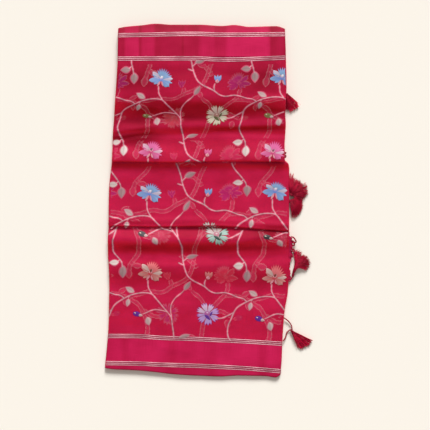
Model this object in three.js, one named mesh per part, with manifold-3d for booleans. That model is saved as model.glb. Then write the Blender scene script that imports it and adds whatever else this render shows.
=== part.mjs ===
// A saree folded along its length into a packet of twelve layers and laid flat.
// The packet is tucked across in two places, so the top layer shows as three stretches between two satin borders.
// Tassels knotted on the saree's end hang out along the right side.
// Sizes are in millimetres. X runs across the packet, Y along it towards the upper border, and Z up from the
// surface it lies on.
// The origin is the middle of the flat underside.

import * as THREE from "three";
import Module from "manifold-3d";
import { mergeVertices } from "three/addons/utils/BufferGeometryUtils.js";

const wasm = await Module();
wasm.setup();

// Driving sizes of the cloth
const clothThickness = 1.0;
const seam = 0.3;
const tuckSeam = 0.5; // between a length that has turned back under and the stretches it lies between
const layerPitch = clothThickness + seam;
const restHeight = 11; // the hidden layers where the packet lies flattest
const halfWidth = 240; // from the middle to the side columns of the tables below
const firstRow = 474; // the rows that the wavy ends are drawn from
const lastRow = -472;
const endDrop = { upper: 2, lower: 3.5, reach: 38, past: 4 };
const endWave = { upperFrom: 400, lowerFrom: -415 }; // where the rows begin to follow the wavy ends

// Driving sizes of the folded sides
const foldRoll = { count: 5, out: 3, in: 6.5, uneven: 0.5, topDrop: 3.5 };
const lip = { radius: 5, share: 0.9 };
const coreInset = { edge: 5, flat: 8 };
const rowsTurn = 130; // the row where the right side passes to the lower stretches' wider outline
const pallu = { from: -75, to: -214, ruffle: 1.6, ruffleLength: 6.5 };

// The two tucks, where the top layer turns back under itself
const upperTuck = { y: 102, radius: 3.5, back: 63, sway: 1.4, swayLength: 60 };
const lowerTuck = { y: -70.5, radius: 2.4, back: 14, sway: 1.3, swayLength: 70 };
const tuckSpread = 30; // how far from a tuck its waviness is felt
const tuckTaper = 7; // how much narrower each side is where a tuck has turned under

// Colours of the cloth and the threads
const crimson = { color: 0xb81c44, roughness: 0.5, metalness: 0 };
const satinRose = { color: 0xc62a5c, roughness: 0.35, metalness: 0 };
const deepCrimson = { color: 0x9c1436, roughness: 0.6, metalness: 0 };

// Outline of the top layer, one row for each place along it
const leftEdge = [
  { y: 480, x: -219.8 }, { y: 462, x: -221.1 }, { y: 378, x: -221.7 }, { y: 308, x: -225.2 },
  { y: 270, x: -227.9 }, { y: 230, x: -231.4 }, { y: 167, x: -235.4 }, { y: 110, x: -237.0 },
  { y: 97, x: -238.2 }, { y: 81, x: -240.8 }, { y: 27, x: -246.0 }, { y: -59, x: -246.5 },
  { y: -154, x: -249.0 }, { y: -170, x: -246.5 }, { y: -243, x: -245.2 }, { y: -354, x: -247.6 },
  { y: -429, x: -253.5 }, { y: -480, x: -258.0 },
];
const rightEdgeUpper = [
  { y: 480, x: 229.0 }, { y: 462, x: 229.5 }, { y: 378, x: 231.1 }, { y: 308, x: 232.2 },
  { y: 235, x: 229.5 }, { y: 202, x: 231.2 }, { y: 143, x: 228.4 }, { y: 90, x: 228.6 },
];
const rightEdgeLower = [
  { y: 170, x: 228.0 }, { y: 110, x: 228.4 }, { y: 97, x: 239.5 }, { y: 81, x: 241.6 },
  { y: -8, x: 241.1 }, { y: -86, x: 240.0 }, { y: -167, x: 240.3 }, { y: -227, x: 238.7 },
  { y: -251, x: 236.3 }, { y: -284, x: 229.5 }, { y: -319, x: 226.0 }, { y: -378, x: 222.5 },
  { y: -421, x: 220.9 }, { y: -480, x: 217.0 },
];
// How far the saree's unturned end peeks out past the right side, below the lower tuck
const ruffledEnd = [
  { y: -72, out: 0.6 }, { y: -84, out: 1.4 }, { y: -95, out: 6.8 }, { y: -108, out: 10 }, { y: -123, out: 9.6 },
  { y: -137, out: 7.6 }, { y: -148, out: 10 }, { y: -160, out: 5 }, { y: -178, out: 2.4 }, { y: -194, out: 4 },
  { y: -207, out: 5.6 }, { y: -217, out: 0.8 },
];
const upperEnd = [
  { x: -222, y: 462 }, { x: -201, y: 466 }, { x: -157, y: 470.3 }, { x: -119, y: 474.7 }, { x: -77, y: 472 },
  { x: -1, y: 472 }, { x: 60, y: 468.5 }, { x: 92, y: 471.2 }, { x: 133, y: 466 }, { x: 205, y: 467.9 },
  { x: 231, y: 460 },
];
const lowerEnd = [
  { x: -258, y: -453.6 }, { x: -235, y: -457 }, { x: -177, y: -459.8 }, { x: -125, y: -464.4 },
  { x: -70, y: -470.9 }, { x: 5, y: -475.2 }, { x: 54, y: -476.8 }, { x: 102, y: -474.4 },
  { x: 178, y: -476 }, { x: 205, y: -479.5 }, { x: 219, y: -471 },
];
const lowerSlant = { drop: 11, from: -120, to: -380 }; // how much lower the right side lies than the middle

// The waves across the packet: where each crest runs at the left, middle and right, its height, how far it
// reaches above and below the crest, and its share of that height at the left, middle and right
const waves = [
  { left: 440, middle: 440, right: 440, height: 9, above: 60, below: 95, shares: [1, 1, 1] },
  { left: 276, middle: 269, right: 266, height: 20, above: 105, below: 42, shares: [0.85, 1, 0.85] },
  { left: 188, middle: 199, right: 203, height: 8, above: 18, below: 18, shares: [0.8, 1, 0.9] },
  { left: 102, middle: 102, right: 100, height: 7, above: 42, below: 12, shares: [1, 1, 0.9] },
  { left: -61, middle: -64, right: -68, height: 6, above: 62, below: 10, shares: [0.9, 1, 1] },
  { left: -106, middle: -108, right: -102, height: 15, above: 24, below: 26, shares: [0.85, 1, 0.6] },
  { left: -178, middle: -180, right: -174, height: 6, above: 17, below: 42, shares: [1, 1, 0.7] },
  { left: -275, middle: -290, right: -300, height: 3, above: 40, below: 50, shares: [1, 0.8, 1] },
];

// Rows across the packet, named by their place along Y, and columns named by their share of the width
const borderRows = [firstRow, 466, 452, 430, 407, 383.5];
const upperRows = [borderRows.at(-1) - seam, 360, 338, 320, 306, 292, 278, 264, 251, 240, 230, 221, 213, 205, 197, 189, 180];
const upperTuckRows = [165, 144, 124, 105.5];
const middleRows = [99, 92, 78, 52, 22, -6, -26, -42];
const lowerTuckRows = [-56.5, -68.1];
const lowerRows = [
  -75, -83, -91, -100, -108, -116, -125, -134, -143, -153, -164, -177, -193, -214, -240, -270, -305, -340, -374.7,
];
const lowerBorderRows = [lowerRows.at(-1) - seam, -398, -422, -444, -460, lastRow];
const innerColumns = 9;
const lipColumns = [0, 1.7, 5];

// A share between 0 and 1 that eases in from one value to another
function ease(from, to, value) {
  const share = Math.min(1, Math.max(0, (value - from) / (to - from)));
  return share * share * (3 - 2 * share);
}

// A smooth line through a table's rows that doesn't overshoot them
function along(table, key, value, at) {
  const rows = [...table].sort((a, b) => a[key] - b[key]);
  const slopes = rows.slice(1).map((row, i) => (row[value] - rows[i][value]) / (row[key] - rows[i][key]));
  const lean = rows.map((_, i) => {
    if (i === 0) return slopes[0];
    if (i === rows.length - 1) return slopes[i - 1];
    const [before, after] = [slopes[i - 1], slopes[i]];
    return before * after > 0 ? (2 * before * after) / (before + after) : 0;
  });
  const t = Math.min(rows.at(-1)[key], Math.max(rows[0][key], at));
  const i = Math.max(0, rows.findIndex((row) => row[key] >= t) - 1);
  const span = rows[i + 1][key] - rows[i][key];
  const s = (t - rows[i][key]) / span;
  return (
    (2 * s ** 3 - 3 * s ** 2 + 1) * rows[i][value] +
    (s ** 3 - 2 * s ** 2 + s) * span * lean[i] +
    (3 * s ** 2 - 2 * s ** 3) * rows[i + 1][value] +
    (s ** 3 - s ** 2) * span * lean[i + 1]
  );
}

// The value at x of something given at the left, in the middle and at the right
function across(x, left, middle, right) {
  const s = x / halfWidth;
  return middle + ((right - left) / 2) * s + ((right + left) / 2 - middle) * s * s;
}

// Height of the surface that the top layer lies on
function bedHeight(x, y) {
  const tip = firstRow + endDrop.past;
  let z = restHeight;
  z -= endDrop.upper * ease(tip - endDrop.reach, tip, y);
  z -= endDrop.lower * ease(endDrop.reach - tip, -tip, y);
  for (const wave of waves) {
    const off = y - across(x, wave.left, wave.middle, wave.right);
    const reach = off > 0 ? wave.above : wave.below;
    z += wave.height * across(x, ...wave.shares) * Math.exp(-((off / reach) ** 2));
  }
  return z;
}

function tuckLine(tuck, x) {
  return tuck.y + tuck.sway * Math.sin(x / tuck.swayLength);
}

// Where a row lies along Y at a given x: it follows the wavy ends, the tucks and the slant of the lower border
function rowAt(x, row) {
  let y = row;
  for (const tuck of [upperTuck, lowerTuck]) {
    y += (tuckLine(tuck, x) - tuck.y) * Math.exp(-(((row - tuck.y) / tuckSpread) ** 2));
  }
  y -= (lowerSlant.drop * ease(lowerSlant.from, lowerSlant.to, row) * x) / halfWidth;
  y += (along(upperEnd, "x", "y", x) - firstRow) * ease(endWave.upperFrom, firstRow, row);
  const atLowerEnd = ease(endWave.lowerFrom, lastRow, row);
  return y * (1 - atLowerEnd) + (along(lowerEnd, "x", "y", x) + row - lastRow) * atLowerEnd;
}

// The left and right limits of a row, on the stretches above the upper tuck and on all that lies below them
const upperLimits = (row) => [along(leftEdge, "y", "x", row), along(rightEdgeUpper, "y", "x", row)];
const lowerLimits = (row) =>
  row > rowsTurn ? upperLimits(row) : [along(leftEdge, "y", "x", row), along(rightEdgeLower, "y", "x", row)];

// The columns of a row, with the first and last few close together at the sides
function columns([left, right], inset = 0) {
  const [from, to] = [left + inset, right - inset];
  const inner = coreInset.flat;
  const xs = lipColumns.map((d) => from + d);
  for (let i = 0; i <= innerColumns; i++) xs.push(from + inner + ((to - from - 2 * inner) * i) / innerColumns);
  return [...xs, ...[...lipColumns].reverse().map((d) => to - d)];
}

// How far the cloth has turned down where it rounds over the packet's side
function lipDrop(x, [left, right]) {
  const inside = Math.min(x - left, right - x);
  const q = Math.min(1, Math.max(0, 1 - inside / lip.radius));
  return lip.share * lip.radius * (1 - Math.sqrt(1 - q * q));
}

// A triangle mesh from points and faces
function meshOf(name, points, faces, look) {
  const geometry = new THREE.BufferGeometry();
  geometry.setAttribute("position", new THREE.Float32BufferAttribute(points.flat(), 3));
  geometry.setIndex(faces.flat());
  geometry.computeVertexNormals();
  const mesh = new THREE.Mesh(geometry, new THREE.MeshStandardMaterial(look));
  mesh.name = name;
  return mesh;
}

// A wall of cloth between its shown face and its back, given as rows of points in the same order
function clothWall(name, face, back, look) {
  const rows = face.length;
  const cols = face[0].length;
  const points = [...face.flat(), ...back.flat()];
  const at = (r, c) => r * cols + c;
  const under = (r, c) => rows * cols + at(r, c);
  const faces = [];
  const quad = (a, b, c, d) => faces.push([a, b, c], [a, c, d]);
  for (let r = 0; r + 1 < rows; r++) {
    for (let c = 0; c + 1 < cols; c++) {
      quad(at(r, c), at(r + 1, c), at(r + 1, c + 1), at(r, c + 1));
      quad(under(r, c), under(r, c + 1), under(r + 1, c + 1), under(r + 1, c));
    }
    quad(at(r, 0), under(r, 0), under(r + 1, 0), at(r + 1, 0));
    quad(at(r, cols - 1), at(r + 1, cols - 1), under(r + 1, cols - 1), under(r, cols - 1));
  }
  for (let c = 0; c + 1 < cols; c++) {
    quad(at(0, c), at(0, c + 1), under(0, c + 1), under(0, c));
    quad(at(rows - 1, c), under(rows - 1, c), under(rows - 1, c + 1), at(rows - 1, c + 1));
  }
  return meshOf(name, points, faces, look);
}

// Extra height of the top layer over a tuck, on top of the cloth's own pitch
function tuckLift(tuck, x, y) {
  const line = tuckLine(tuck, x);
  const twoLayers = 2 * (clothThickness + tuckSeam);
  const nose = 2 * tuck.radius + tuckSeam - twoLayers;
  const beyond = line + tuck.back;
  return twoLayers * ease(beyond + 15, beyond + 1, y) + nose * ease(beyond - 8, line + tuck.radius, y);
}

// Rows of the top layer's face, where a tuck may lift it
function openRows(rowList, limits, tuck) {
  return rowList.map((row) => {
    const limit = limits(row);
    return columns(limit).map((x) => {
      const y = rowAt(x, row);
      const lift = tuck ? tuckLift(tuck, x, y) : 0;
      return [x, y, bedHeight(x, y) + layerPitch + lift - lipDrop(x, limit)];
    });
  });
}

// The rounded nose of a tuck and the length that has turned back under, as the face and the back
function turnedRows(tuck, limits, backRows) {
  const face = [];
  const back = [];
  const noseRow = tuck.y + tuck.radius;
  const limit = limits(noseRow);
  for (const degrees of [50, 10, -30, -90]) {
    const angle = THREE.MathUtils.degToRad(degrees);
    const taper = (tuckTaper * (90 - degrees)) / 180;
    const row = columns(limit, taper).map((x) => {
      const y = rowAt(x, noseRow);
      const middle = bedHeight(x, y) + layerPitch + tuckSeam + tuck.radius;
      const drop = (lipDrop(x, [limit[0] + taper, limit[1] - taper]) * (1 + Math.sin(angle))) / 2;
      const point = (r) => [x, y - r * Math.cos(angle), middle + r * Math.sin(angle) - drop];
      return [point(tuck.radius), point(tuck.radius - clothThickness)];
    });
    face.push(row.map(([outer]) => outer));
    back.push(row.map(([, inner]) => inner));
  }
  for (const rowName of backRows) {
    const row = columns(limits(rowName), tuckTaper).map((x) => {
      const y = rowAt(x, rowName);
      return [x, y, bedHeight(x, y) + layerPitch + tuckSeam];
    });
    face.push(row);
    back.push(row.map(([x, y, z]) => [x, y, z + clothThickness]));
  }
  return { face, back };
}

const lowered = (rows) => rows.map((row) => row.map(([x, y, z]) => [x, y, z - clothThickness]));

// One stretch of the top layer, which may end in a tuck
function topStretch(name, rowList, limits, look, tuck, backRows = []) {
  const face = openRows(rowList, limits, tuck);
  const back = lowered(face);
  if (tuck) {
    const turned = turnedRows(tuck, limits, backRows);
    face.push(...turned.face);
    back.push(...turned.back);
  }
  return clothWall(name, face, back, look);
}

// The saree's unturned end is a ruffled strip, held under the lip of the lower stretch
function palluEnd() {
  const rows = lowerRows.filter((row) => row <= pallu.from && row >= pallu.to);
  const face = rows.map((row) => {
    const limit = lowerLimits(row);
    const out = along(ruffledEnd, "y", "out", row);
    return [-lipColumns[1], 0, out / 2, out].map((past) => {
      const x = limit[1] + past;
      const y = rowAt(x, row);
      const ruffle = pallu.ruffle * Math.max(0, past / out) * Math.sin(row / pallu.ruffleLength);
      return [x, y, bedHeight(x, y) - lipDrop(x, limit) + ruffle];
    });
  });
  return clothWall("pallu_end", face, lowered(face), crimson);
}

// The layers that don't show share one solid, with a roll along its sides for each pair of layers
function hiddenLayers() {
  const rowList = [
    ...borderRows, ...upperRows.slice(1), ...upperTuckRows,
    ...middleRows, ...lowerTuckRows, ...lowerRows, ...lowerBorderRows.slice(1),
  ];
  const grid = rowList.map((row, r) => {
    const limit = lowerLimits(row);
    const end = r === 0 ? -1 : r === rowList.length - 1 ? 1 : 0;
    const xs = columns(limit);
    const skipped = lipColumns.length;
    const kept = [limit[0] + coreInset.edge, ...xs.slice(skipped, -skipped), limit[1] - coreInset.edge];
    return kept.map((x, c) => {
      const y = rowAt(x, row) + end * coreInset.edge;
      const onEdge = end !== 0 || c === 0 || c === kept.length - 1;
      return [x, y, bedHeight(x, y) - (onEdge ? foldRoll.topDrop : 0)];
    });
  });
  const rows = grid.length;
  const cols = grid[0].length;
  const points = grid.flat();
  const faces = [];
  const quad = (a, b, c, d) => faces.push([a, b, c], [a, c, d]);
  for (let r = 0; r + 1 < rows; r++) {
    for (let c = 0; c + 1 < cols; c++) {
      quad(r * cols + c, (r + 1) * cols + c, (r + 1) * cols + c + 1, r * cols + c + 1);
    }
  }
  // The edge of the top, once round, with the way out of the packet at each place
  const rim = [];
  for (let r = 0; r < rows; r++) rim.push({ r, c: 0, out: [-1, r === 0 ? 1 : r === rows - 1 ? -1 : 0] });
  for (let c = 1; c < cols; c++) rim.push({ r: rows - 1, c, out: [c === cols - 1 ? 1 : 0, -1] });
  for (let r = rows - 2; r >= 0; r--) rim.push({ r, c: cols - 1, out: [1, r === 0 ? 1 : 0] });
  for (let c = cols - 2; c > 0; c--) rim.push({ r: 0, c, out: [0, 1] });

  // Down the side in rolls: out to each fold's edge, then in to the crease below it
  const levels = [];
  for (let k = foldRoll.count - 1; k >= 0; k--) {
    const uneven = foldRoll.uneven * Math.sin(2.1 * k + 0.7);
    levels.push({ share: (k + 0.5) / foldRoll.count, out: coreInset.edge - foldRoll.out + uneven });
    levels.push({ share: k / foldRoll.count, out: coreInset.edge - foldRoll.in });
  }
  let ring = rim.map(({ r, c }) => r * cols + c);
  for (const level of levels) {
    const next = rim.map(({ r, c, out }) => {
      const [x, y, z] = grid[r][c];
      points.push([x + out[0] * level.out, y + out[1] * level.out, z * level.share]);
      return points.length - 1;
    });
    ring.forEach((top, i) => {
      const j = (i + 1) % ring.length;
      quad(top, next[i], next[j], ring[j]);
    });
    ring = next;
  }
  const outline = ring.map((i) => new THREE.Vector2(points[i][0], points[i][1]));
  for (const [a, b, c] of THREE.ShapeUtils.triangulateShape(outline, [])) faces.push([ring[a], ring[c], ring[b]]);
  return meshOf("hidden_layers", points, faces, deepCrimson);
}

// The tassels, one row each: the head's middle, the way the skirt ends in degrees from +X, how far it turns on
// the way there, how widely it fans, its length and how much longer its left side is, its strands, and the head's
// half sizes along and across the skirt
const tassels = [
  {
    name: "tassel_1", head: [233.4, 283, 20.4], points: -68, turn: 4, fan: 31,
    length: 44, slant: 0, strands: 18, along: 3.2, wide: 4.6,
  },
  {
    name: "tassel_2", head: [247, 14.5, 7.4], points: 55, turn: 8, fan: 56,
    length: 47, slant: 0.1, strands: 24, along: 3.4, wide: 5.6,
  },
  {
    name: "tassel_3", head: [244.6, -3, 7.2], points: -49, turn: 30, fan: 30,
    length: 44, slant: 0.15, strands: 18, along: 3.4, wide: 5.2,
  },
  {
    name: "tassel_4", head: [251.5, -202, 6.8], points: 50, turn: 30, fan: 27,
    length: 60, slant: 0.14, strands: 21, along: 6, wide: 5,
  },
  {
    name: "tassel_5", head: [250.4, -357, 6.8], points: -48, turn: 0, fan: 36,
    length: 54, slant: 0.12, strands: 21, along: 7.5, wide: 5,
  },
];
const strand = { radius: 0.6, levels: 3, rootStep: 1.5, endStep: 2, floor: 1.1, spread: 0.86, steps: 3 };
const headHeight = 3.8;
// The cords that hold a tassel out from the cloth, as points from the cloth's side to the head
const cords = {
  tassel_4: [[[241.0, -221, 7], [246, -214, 6.4], [250, -206, 6.4]]],
  tassel_5: [
    [[227.7, -318.5, 8], [238.5, -327, 6], [247, -339, 5], [249.2, -351, 6]],
    [[224.2, -381, 7.5], [231.5, -371, 5], [234.6, -359, 4], [243.2, -351.5, 5], [248, -354, 6.4]],
  ],
};
const cordRadius = 1.1;

// A closed geometry as a solid that can be joined with others
function solidOf(geometry) {
  const bare = geometry.index ? geometry.toNonIndexed() : geometry.clone();
  for (const key of Object.keys(bare.attributes)) if (key !== "position") bare.deleteAttribute(key);
  const merged = mergeVertices(bare, 1e-4);
  return new wasm.Manifold(
    new wasm.Mesh({
      numProp: 3,
      vertProperties: new Float32Array(merged.attributes.position.array),
      triVerts: new Uint32Array(merged.index.array),
    }),
  );
}

// A thread of a few sides along a line of points
function thread(points, radius, sides, steps) {
  const section = new THREE.Shape();
  for (let i = 0; i < sides; i++) {
    const angle = (2 * Math.PI * (i + 0.5)) / sides;
    const [x, y] = [radius * Math.cos(angle), radius * Math.sin(angle)];
    if (i === 0) section.moveTo(x, y);
    else section.lineTo(x, y);
  }
  section.closePath();
  const path = new THREE.CatmullRomCurve3(points.map((p) => new THREE.Vector3(...p)));
  return new THREE.ExtrudeGeometry(section, { extrudePath: path, steps, bevelEnabled: false });
}

// One strand of a tassel's skirt: it leaves the head beside its neighbours and falls to just above the surface
function strandLine({ head: [hx, hy, hz], points, turn, fan, length, slant, strands, wide }, i) {
  const share = (2 * i) / (strands - 1) - 1;
  const level = i % strand.levels;
  const aside = wide * strand.spread * share;
  const side = THREE.MathUtils.degToRad(points + turn + 90);
  const [rx, ry] = [hx + aside * Math.cos(side), hy + aside * Math.sin(side)];
  const rootZ = hz + strand.rootStep * (level - 1) * Math.sqrt(1 - (strand.spread * share) ** 2);
  const endZ = strand.floor + strand.endStep * level;
  const reach = length * (0.96 + 0.04 * Math.sin(5.3 * i + 1) - 0.08 * share * share + slant * share);
  return [0, 0.25, 0.5, 0.75, 1].map((t) => {
    const heading = THREE.MathUtils.degToRad(points + turn * (1 - t) + (fan / 2) * share);
    const [x, y] = [rx + reach * t * Math.cos(heading), ry + reach * t * Math.sin(heading)];
    return [x, y, rootZ + (endZ - rootZ) * ease(0, 1, t)];
  });
}

function tassel(row) {
  const head = new THREE.SphereGeometry(1, 10, 8).scale(row.along, row.wide, headHeight);
  head.rotateZ(THREE.MathUtils.degToRad(row.points + row.turn)).translate(...row.head);
  let solid = solidOf(head);
  for (let i = 0; i < row.strands; i++) {
    solid = solid.add(solidOf(thread(strandLine(row, i), strand.radius, 3, strand.steps)));
  }
  for (const line of cords[row.name] ?? []) solid = solid.add(solidOf(thread(line, cordRadius, 4, 8)));
  const { vertProperties, triVerts } = solid.getMesh();
  const triples = (flat) => Array.from({ length: flat.length / 3 }, (_, i) => [...flat.slice(3 * i, 3 * i + 3)]);
  return meshOf(row.name, triples(vertProperties), triples(triVerts), deepCrimson);
}

const upperAll = [...upperRows, ...upperTuckRows];
const middleAll = [...upperTuckRows, ...middleRows, ...lowerTuckRows];
const backOf = (tuckRows) => tuckRows.slice(0, -1).reverse();

const saree = new THREE.Group();
saree.name = "folded_saree";
saree.add(
  hiddenLayers(),
  topStretch("upper_border", borderRows, upperLimits, satinRose),
  topStretch("upper_stretch", upperAll, upperLimits, crimson, upperTuck, backOf(upperTuckRows)),
  topStretch("middle_stretch", middleAll, lowerLimits, crimson, lowerTuck, backOf(lowerTuckRows)),
  topStretch("lower_stretch", [...lowerTuckRows, ...lowerRows], lowerLimits, crimson),
  topStretch("lower_border", lowerBorderRows, lowerLimits, satinRose),
  palluEnd(),
  ...tassels.map(tassel),
);

export default saree;
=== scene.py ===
import math
import random

import bpy
import numpy as np
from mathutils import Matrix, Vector


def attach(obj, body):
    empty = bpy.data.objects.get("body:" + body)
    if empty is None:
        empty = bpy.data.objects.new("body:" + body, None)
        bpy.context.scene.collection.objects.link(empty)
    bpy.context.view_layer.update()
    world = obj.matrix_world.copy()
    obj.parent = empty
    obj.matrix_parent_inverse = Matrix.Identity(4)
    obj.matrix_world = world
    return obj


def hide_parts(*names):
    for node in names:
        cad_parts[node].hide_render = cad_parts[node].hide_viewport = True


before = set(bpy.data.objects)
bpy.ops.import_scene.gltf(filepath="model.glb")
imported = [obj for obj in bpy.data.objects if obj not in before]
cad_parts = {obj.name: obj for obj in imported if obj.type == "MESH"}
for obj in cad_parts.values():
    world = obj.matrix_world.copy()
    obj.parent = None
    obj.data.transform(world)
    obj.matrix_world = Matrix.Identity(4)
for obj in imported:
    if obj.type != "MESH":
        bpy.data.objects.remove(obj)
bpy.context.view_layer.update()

# A saree folded flat, seen from straight above. Sizes are in millimetres up to the point where a mesh is made.
mm = 0.001
scene = bpy.context.scene
square = 2.7  # one square of the photo's frame and of the flower charts
imageSize = 430
origin = 200  # the place in the photo's frame, across and down, that lies at 0, 0 here
restHeight = 11

print("camera and light")
camera = bpy.data.cameras.new("camera")
camera.lens = 85
camera.sensor_width = 36
cameraObject = bpy.data.objects.new("camera", camera)
scene.collection.objects.link(cameraObject)
scene.camera = cameraObject
viewCentre = ((imageSize / 2 - origin) * square, (origin - imageSize / 2) * square)
viewDistance = imageSize * square / camera.sensor_width * camera.lens
cameraObject.location = (viewCentre[0] * mm, viewCentre[1] * mm, (viewDistance + restHeight - 1) * mm)


def aim(lamp, towards):
    lamp.rotation_mode = "QUATERNION"
    lamp.rotation_quaternion = Vector(towards).to_track_quat("-Z", "Y")


lamps = {
    "window": {"from": (0.12, 1, 0.62), "strength": 4.0, "softness": 24},
    "fill": {"from": (-0.25, -1, 0.5), "strength": 0.15, "softness": 60},
}
for name, lamp in lamps.items():
    sun = bpy.data.lights.new(name, "SUN")
    sun.energy = lamp["strength"]
    sun.angle = math.radians(lamp["softness"])
    sunObject = bpy.data.objects.new(name, sun)
    scene.collection.objects.link(sunObject)
    aim(sunObject, [-v for v in lamp["from"]])

world = bpy.data.worlds.new("studio")
scene.world = world
world.use_nodes = True
world.node_tree.nodes["Background"].inputs["Color"].default_value = (1, 0.97, 0.93, 1)
world.node_tree.nodes["Background"].inputs["Strength"].default_value = 0.36
scene.view_settings.view_transform = "Standard"


def colour(r, g, b):
    def linear(v):
        v /= 255
        return v / 12.92 if v <= 0.04045 else ((v + 0.055) / 1.055) ** 2.4

    return np.array([linear(r), linear(g), linear(b)])


print("materials")


def newGroup(name):
    group = bpy.data.node_groups.new(name, "ShaderNodeTree")
    for label in ("Thread", "Gap"):
        group.interface.new_socket(name=label, in_out="INPUT", socket_type="NodeSocketColor")
    group.interface.new_socket(name="Color", in_out="OUTPUT", socket_type="NodeSocketColor")
    group.interface.new_socket(name="Height", in_out="OUTPUT", socket_type="NodeSocketFloat")
    return group, group.nodes.new("NodeGroupInput"), group.nodes.new("NodeGroupOutput")


def mathNode(tree, operation, a, b):
    node = tree.nodes.new("ShaderNodeMath")
    node.operation = operation
    for i, value in enumerate((a, b)):
        if isinstance(value, (int, float)):
            node.inputs[i].default_value = value
        else:
            tree.links.new(value, node.inputs[i])
    return node.outputs[0]


def mixColour(tree, factor, a, b):
    node = tree.nodes.new("ShaderNodeMix")
    node.data_type = "RGBA"
    for socket, value in zip((node.inputs[0], node.inputs[6], node.inputs[7]), (factor, a, b)):
        tree.links.new(value, socket)
    return node.outputs[2]


def clothPlace(tree, scale):
    uv = tree.nodes.new("ShaderNodeUVMap")
    uv.uv_map = "cloth"
    mapping = tree.nodes.new("ShaderNodeMapping")
    mapping.inputs["Scale"].default_value = scale
    tree.links.new(uv.outputs[0], mapping.inputs["Vector"])
    return mapping.outputs[0]


def noise(tree, scale):
    node = tree.nodes.new("ShaderNodeTexNoise")
    node.inputs["Scale"].default_value = 1
    node.inputs["Detail"].default_value = 2
    tree.links.new(clothPlace(tree, scale), node.inputs["Vector"])
    return node.outputs["Fac"]


def threads(tree, direction, period):
    node = tree.nodes.new("ShaderNodeTexWave")
    node.bands_direction = direction
    # a wave texture of scale 1 has 20 / (2 pi) bands to the metre
    node.inputs["Scale"].default_value = 2 * math.pi / 20 / period
    tree.links.new(clothPlace(tree, (1, 1, 1)), node.inputs["Vector"])
    return node.outputs["Fac"]


def makeWeave():
    tree, into, out = newGroup("weave")
    warp = threads(tree, "X", 0.0005)
    weft = threads(tree, "Y", 0.00045)
    crossing = mathNode(tree, "MAXIMUM", warp, weft)
    slub = noise(tree, (30, 1400, 1))
    warpSlub = noise(tree, (1100, 22, 1))
    cloud = noise(tree, (9, 14, 1))
    uneven = mathNode(tree, "ADD", mathNode(tree, "ADD", slub, warpSlub), cloud)
    share = mathNode(tree, "ADD", mathNode(tree, "MULTIPLY", uneven, 0.75), -0.65)
    share = mathNode(tree, "ADD", share, mathNode(tree, "MULTIPLY", crossing, 0.25))
    share = mathNode(tree, "MINIMUM", mathNode(tree, "MAXIMUM", share, 0.0), 1.0)
    tree.links.new(mixColour(tree, share, into.outputs["Gap"], into.outputs["Thread"]), out.inputs["Color"])
    height = mathNode(tree, "ADD", crossing, mathNode(tree, "MULTIPLY", slub, 0.8))
    tree.links.new(height, out.inputs["Height"])
    return tree


def makeTwist():
    tree, into, out = newGroup("twist")
    strands = threads(tree, "DIAGONAL", 0.0011)
    patchy = noise(tree, (240, 240, 1))
    share = mathNode(tree, "ADD", mathNode(tree, "MULTIPLY", strands, 0.55),
                     mathNode(tree, "MULTIPLY", patchy, 0.6))
    share = mathNode(tree, "MINIMUM", share, 1.0)
    tree.links.new(mixColour(tree, share, into.outputs["Gap"], into.outputs["Thread"]), out.inputs["Color"])
    tree.links.new(strands, out.inputs["Height"])
    return tree


weave = makeWeave()
twist = makeTwist()


def cloth(name, look):
    material = bpy.data.materials.new(name)
    material.use_nodes = True
    tree = material.node_tree
    shader = tree.nodes["Principled BSDF"]
    shader.inputs["Roughness"].default_value = look["roughness"]
    shader.inputs["Specular IOR Level"].default_value = look.get("specular", 0.25)
    shader.inputs["Metallic"].default_value = look.get("metallic", 0)
    shader.inputs["Sheen Weight"].default_value = look.get("sheen", 0)
    shader.inputs["Sheen Roughness"].default_value = 0.45
    shader.inputs["Sheen Tint"].default_value = (1, 0.5, 0.6, 1)
    shader.inputs["Alpha"].default_value = look.get("alpha", 1)
    if "group" in look:
        group = tree.nodes.new("ShaderNodeGroup")
        group.node_tree = look["group"]
        group.inputs["Thread"].default_value = (*look["thread"], 1)
        group.inputs["Gap"].default_value = (*look["gap"], 1)
        output = group.outputs["Color"]
        if look.get("toned"):
            tone = tree.nodes.new("ShaderNodeVertexColor")
            tone.layer_name = "tone"
            multiply = tree.nodes.new("ShaderNodeMix")
            multiply.data_type = "RGBA"
            multiply.blend_type = "MULTIPLY"
            multiply.inputs[0].default_value = 1
            tree.links.new(output, multiply.inputs[6])
            tree.links.new(tone.outputs["Color"], multiply.inputs[7])
            output = multiply.outputs[2]
        tree.links.new(output, shader.inputs["Base Color"])
        bump = tree.nodes.new("ShaderNodeBump")
        bump.inputs["Strength"].default_value = look.get("bump", 0.2)
        bump.inputs["Distance"].default_value = 0.0002
        tree.links.new(group.outputs["Height"], bump.inputs["Height"])
        tree.links.new(bump.outputs["Normal"], shader.inputs["Normal"])
    else:
        shader.inputs["Base Color"].default_value = (*look["thread"], 1)
    return material


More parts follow.
